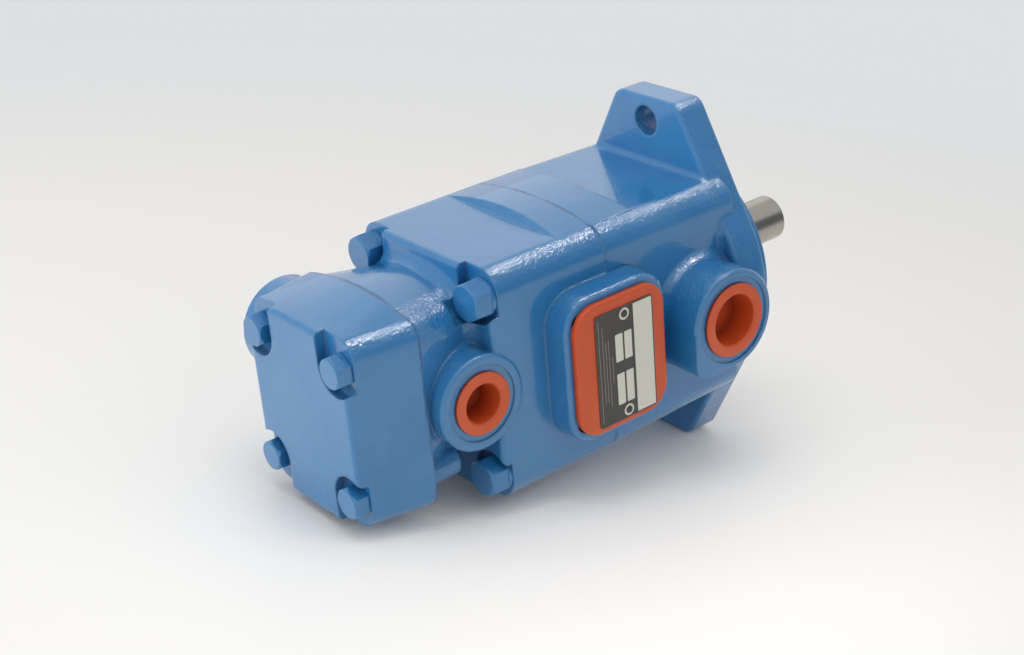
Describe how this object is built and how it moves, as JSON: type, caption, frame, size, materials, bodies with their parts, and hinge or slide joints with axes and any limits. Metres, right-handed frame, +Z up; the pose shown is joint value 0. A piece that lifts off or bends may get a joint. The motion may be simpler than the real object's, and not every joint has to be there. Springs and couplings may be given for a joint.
{
  "type": "hydraulic vane pump",
  "caption": "Double hydraulic vane pump with a bolted flange, keyed shaft, stepped cast housings, capped side ports and spring-loaded cartridges inside.",
  "frame": {"origin": "centre of the mounting flange's front face, on the shaft's axis, at the root of the pilot", "axes": "+X runs out along the free end of the shaft; +Z runs up through one ear of the flange; the ports and the inlet face -Y"},
  "size_m": [0.2814, 0.1295, 0.169],
  "materials": {
    "casting_blue": "gloss enamel over a sand casting",
    "bolt_blue": "gloss enamel over machined hexagons",
    "shaft_steel": "ground",
    "bearing_steel": "ground and polished",
    "spring_steel": "tempered",
    "plate_iron": "machined",
    "bush_bronze": "bored",
    "seal_rubber": "satin",
    "cap_orange": "moulded, satin gloss",
    "plate_dark": "printed foil",
    "rivet_metal": "bright"
  },
  "bodies": {
    "housing": {"front_body": "casting_blue", "center_housing": "casting_blue", "rear_cover": "casting_blue", "housing_bolts": "bolt_blue", "cover_bolts": "bolt_blue", "front_ring_pins": "shaft_steel", "rear_ring_pins": "shaft_steel", "bearing_outer_race": "bearing_steel", "front_cam_ring": "bearing_steel", "rear_cam_ring": "bearing_steel", "bearing_retaining_ring": "spring_steel", "front_plate_spring": "spring_steel", "rear_plate_spring": "spring_steel", "front_pressure_plate": "plate_iron", "rear_pressure_plate": "plate_iron", "center_bush": "bush_bronze", "rear_bush": "bush_bronze", "shaft_seal": "seal_rubber", "body_o_ring": "seal_rubber", "cover_o_ring": "seal_rubber", "front_plate_seal": "seal_rubber", "rear_plate_seal": "seal_rubber", "front_outlet_plug": "cap_orange", "rear_outlet_plug": "cap_orange", "inlet_cover": "cap_orange", "nameplate": "plate_dark", "nameplate_rivets": "rivet_metal"},
    "shaft": {"drive_shaft": "shaft_steel", "shaft_key": "shaft_steel", "bearing_inner_race": "bearing_steel", "shaft_snap_ring": "spring_steel", "front_rotor": "bearing_steel", "rear_rotor": "bearing_steel"},
    "cage": {"bearing_balls": "bearing_steel", "bearing_cage": "spring_steel"},
    "front_vane_01": {"front_vane_01": "bearing_steel"},
    "front_vane_02": {"front_vane_02": "bearing_steel"},
    "front_vane_03": {"front_vane_03": "bearing_steel"},
    "front_vane_04": {"front_vane_04": "bearing_steel"},
    "front_vane_05": {"front_vane_05": "bearing_steel"},
    "front_vane_06": {"front_vane_06": "bearing_steel"},
    "front_vane_07": {"front_vane_07": "bearing_steel"},
    "front_vane_08": {"front_vane_08": "bearing_steel"},
    "front_vane_09": {"front_vane_09": "bearing_steel"},
    "front_vane_10": {"front_vane_10": "bearing_steel"},
    "rear_vane_01": {"rear_vane_01": "bearing_steel"},
    "rear_vane_02": {"rear_vane_02": "bearing_steel"},
    "rear_vane_03": {"rear_vane_03": "bearing_steel"},
    "rear_vane_04": {"rear_vane_04": "bearing_steel"},
    "rear_vane_05": {"rear_vane_05": "bearing_steel"},
    "rear_vane_06": {"rear_vane_06": "bearing_steel"},
    "rear_vane_07": {"rear_vane_07": "bearing_steel"},
    "rear_vane_08": {"rear_vane_08": "bearing_steel"},
    "rear_vane_09": {"rear_vane_09": "bearing_steel"},
    "rear_vane_10": {"rear_vane_10": "bearing_steel"}
  },
  "joints": [
    {"name": "shaft_spin", "type": "hinge", "parent": "housing", "child": "shaft", "pos_m": [0, 0, 0], "axis": [1, 0, 0], "continuous": true},
    {"name": "cage_spin", "type": "hinge", "parent": "housing", "child": "cage", "pos_m": [-0.002, 0, 0], "axis": [1, 0, 0], "continuous": true},
    {"name": "front_vane_01_slide", "type": "slide", "parent": "shaft", "child": "front_vane_01", "axis": [0, 1, 0], "range_m": [0, 0.00295]},
    {"name": "front_vane_02_slide", "type": "slide", "parent": "shaft", "child": "front_vane_02", "axis": [0, 0.809, 0.5878], "range_m": [0, 0.0019]},
    {"name": "front_vane_03_slide", "type": "slide", "parent": "shaft", "child": "front_vane_03", "axis": [0, 0.309, 0.9511], "range_m": [0, 0.00022]},
    {"name": "front_vane_04_slide", "type": "slide", "parent": "shaft", "child": "front_vane_04", "axis": [0, -0.309, 0.9511], "range_m": [0, 0.00022]},
    {"name": "front_vane_05_slide", "type": "slide", "parent": "shaft", "child": "front_vane_05", "axis": [0, -0.809, 0.5878], "range_m": [0, 0.0019]},
    {"name": "front_vane_06_slide", "type": "slide", "parent": "shaft", "child": "front_vane_06", "axis": [0, -1, 0], "range_m": [0, 0.00295]},
    {"name": "front_vane_07_slide", "type": "slide", "parent": "shaft", "child": "front_vane_07", "axis": [0, -0.809, -0.5878], "range_m": [0, 0.0019]},
    {"name": "front_vane_08_slide", "type": "slide", "parent": "shaft", "child": "front_vane_08", "axis": [0, -0.309, -0.9511], "range_m": [0, 0.00022]},
    {"name": "front_vane_09_slide", "type": "slide", "parent": "shaft", "child": "front_vane_09", "axis": [0, 0.309, -0.9511], "range_m": [0, 0.00022]},
    {"name": "front_vane_10_slide", "type": "slide", "parent": "shaft", "child": "front_vane_10", "axis": [0, 0.809, -0.5878], "range_m": [0, 0.0019]},
    {"name": "rear_vane_01_slide", "type": "slide", "parent": "shaft", "child": "rear_vane_01", "axis": [0, 1, 0], "range_m": [0, 0.00245]},
    {"name": "rear_vane_02_slide", "type": "slide", "parent": "shaft", "child": "rear_vane_02", "axis": [0, 0.809, 0.5878], "range_m": [0, 0.00155]},
    {"name": "rear_vane_03_slide", "type": "slide", "parent": "shaft", "child": "rear_vane_03", "axis": [0, 0.309, 0.9511], "range_m": [0, 0.00017]},
    {"name": "rear_vane_04_slide", "type": "slide", "parent": "shaft", "child": "rear_vane_04", "axis": [0, -0.309, 0.9511], "range_m": [0, 0.00017]},
    {"name": "rear_vane_05_slide", "type": "slide", "parent": "shaft", "child": "rear_vane_05", "axis": [0, -0.809, 0.5878], "range_m": [0, 0.00155]},
    {"name": "rear_vane_06_slide", "type": "slide", "parent": "shaft", "child": "rear_vane_06", "axis": [0, -1, 0], "range_m": [0, 0.00245]},
    {"name": "rear_vane_07_slide", "type": "slide", "parent": "shaft", "child": "rear_vane_07", "axis": [0, -0.809, -0.5878], "range_m": [0, 0.00155]},
    {"name": "rear_vane_08_slide", "type": "slide", "parent": "shaft", "child": "rear_vane_08", "axis": [0, -0.309, -0.9511], "range_m": [0, 0.00017]},
    {"name": "rear_vane_09_slide", "type": "slide", "parent": "shaft", "child": "rear_vane_09", "axis": [0, 0.309, -0.9511], "range_m": [0, 0.00017]},
    {"name": "rear_vane_10_slide", "type": "slide", "parent": "shaft", "child": "rear_vane_10", "axis": [0, 0.809, -0.5878], "range_m": [0, 0.00155]}
  ],
  "couplings": [
    {"joint": "cage_spin", "follows": "shaft_spin", "ratio": 0.4},
    {"joint": "front_vane_06_slide", "follows": "front_vane_01_slide", "ratio": 1},
    {"joint": "front_vane_07_slide", "follows": "front_vane_02_slide", "ratio": 1},
    {"joint": "front_vane_08_slide", "follows": "front_vane_03_slide", "ratio": 1},
    {"joint": "front_vane_09_slide", "follows": "front_vane_04_slide", "ratio": 1},
    {"joint": "front_vane_10_slide", "follows": "front_vane_05_slide", "ratio": 1},
    {"joint": "rear_vane_06_slide", "follows": "rear_vane_01_slide", "ratio": 1},
    {"joint": "rear_vane_07_slide", "follows": "rear_vane_02_slide", "ratio": 1},
    {"joint": "rear_vane_08_slide", "follows": "rear_vane_03_slide", "ratio": 1},
    {"joint": "rear_vane_09_slide", "follows": "rear_vane_04_slide", "ratio": 1},
    {"joint": "rear_vane_10_slide", "follows": "rear_vane_05_slide", "ratio": 1}
  ]
}
